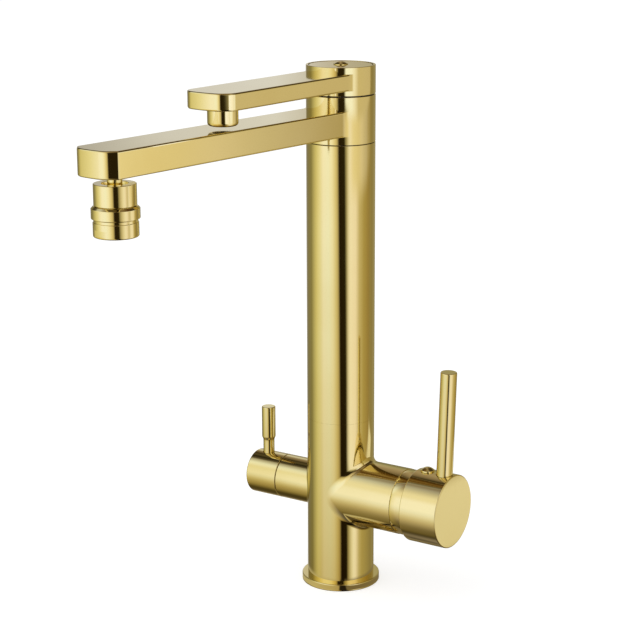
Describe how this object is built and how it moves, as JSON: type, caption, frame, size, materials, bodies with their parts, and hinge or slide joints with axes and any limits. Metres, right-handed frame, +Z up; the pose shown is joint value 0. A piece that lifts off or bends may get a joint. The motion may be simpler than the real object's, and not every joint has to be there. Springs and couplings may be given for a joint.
{
  "type": "three way filtered water tap",
  "caption": "Deck mounted column tap with a long mixed water spout, a shorter filtered water spout above it, a side lever mixer and a small filter valve lever.",
  "frame": {"origin": "column axis at the deck plane, on the flat underside of the base", "axes": "+Z up along the column, -Y towards the front where the spouts point, +X along the mixer horn, -X along the filter valve"},
  "size_m": [0.1496, 0.2383, 0.3377],
  "materials": {
    "gold": "polished gold plating on brass",
    "brass": "turned",
    "steel": "turned",
    "rubber": "moulded",
    "plastic": "moulded",
    "dark_plastic": "moulded",
    "ceramic": "lapped"
  },
  "bodies": {
    "root": {"base_ring": "gold", "base_gasket": "rubber", "valve_body": "gold", "column_tube": "gold", "tube_seal": "rubber", "filtered_water_tube": "steel", "spout_spindle": "brass", "spindle_seal": "rubber", "main_seal_lower": "rubber", "main_seal_upper": "rubber", "filter_seal_lower": "rubber", "filter_seal_upper": "rubber", "lower_glide_ring": "dark_plastic", "upper_glide_ring": "dark_plastic", "top_cap": "gold", "cap_screw": "gold", "cartridge_base_seal": "rubber", "cartridge_body": "plastic", "fixed_disc": "ceramic", "cartridge_nut": "brass", "mixer_shroud": "gold", "seat_washer": "rubber", "filter_headwork": "brass", "filter_fixed_disc": "ceramic"},
    "main_spout": {"main_spout": "gold", "ball_stem": "gold", "ball_stem_seal": "rubber"},
    "ball_seat": {"ball_seat": "plastic"},
    "aerator_head": {"swivel_housing": "gold", "swivel_collar": "gold", "aerator_body": "gold", "aerator_washer": "rubber", "aerator_insert": "dark_plastic"},
    "filter_spout": {"filter_spout": "gold", "filter_nozzle": "gold", "nozzle_seal": "rubber", "nozzle_insert": "dark_plastic"},
    "mixer_turret": {"cartridge_turret": "plastic", "turret_pin": "steel"},
    "mixing_disc": {"moving_disc": "ceramic", "disc_carrier": "plastic"},
    "mixer_handle": {"mixer_stem": "steel", "mixer_hub": "gold", "mixer_grub_screw": "steel", "index_plug": "gold", "mixer_lever": "gold"},
    "filter_valve": {"filter_moving_disc": "ceramic", "filter_spindle": "brass", "spindle_o_ring": "rubber", "filter_hub": "gold", "filter_lever": "gold"}
  },
  "joints": [
    {"name": "main_spout_swivel", "type": "hinge", "parent": "root", "child": "main_spout", "pos_m": [0, 0, 0.3], "axis": [0, 0, 1], "continuous": true},
    {"name": "filter_spout_swivel", "type": "hinge", "parent": "root", "child": "filter_spout", "pos_m": [0, 0, 0.327], "axis": [0, 0, 1], "continuous": true},
    {"name": "aerator_tilt_side", "type": "hinge", "parent": "main_spout", "child": "ball_seat", "pos_m": [-0.01841, -0.19473, 0.283], "axis": [-0.0941, -0.9956, 0], "range_deg": [-12, 12]},
    {"name": "aerator_tilt_fore", "type": "hinge", "parent": "ball_seat", "child": "aerator_head", "pos_m": [-0.01841, -0.19473, 0.283], "axis": [0.9956, -0.0941, 0], "range_deg": [-12, 12]},
    {"name": "mixer_temperature", "type": "hinge", "parent": "root", "child": "mixer_turret", "pos_m": [0.0535, 0, 0.06235], "axis": [1, 0, 0], "range_deg": [-50, 50]},
    {"name": "mixer_flow", "type": "hinge", "parent": "mixer_turret", "child": "mixer_handle", "pos_m": [0.0535, 0, 0.06235], "axis": [0, 1, 0], "range_deg": [0, 25]},
    {"name": "mixing_disc_slide", "type": "slide", "parent": "mixer_turret", "child": "mixing_disc", "axis": [0, 0, 1], "range_m": [0, 0.0056]},
    {"name": "filter_valve_turn", "type": "hinge", "parent": "root", "child": "filter_valve", "pos_m": [-0.0424, 0, 0.06235], "axis": [1, 0, 0], "range_deg": [0, 90]}
  ],
  "couplings": [
    {"joint": "mixing_disc_slide", "follows": "mixer_flow", "m_per_rad": 0.0127}
  ]
}
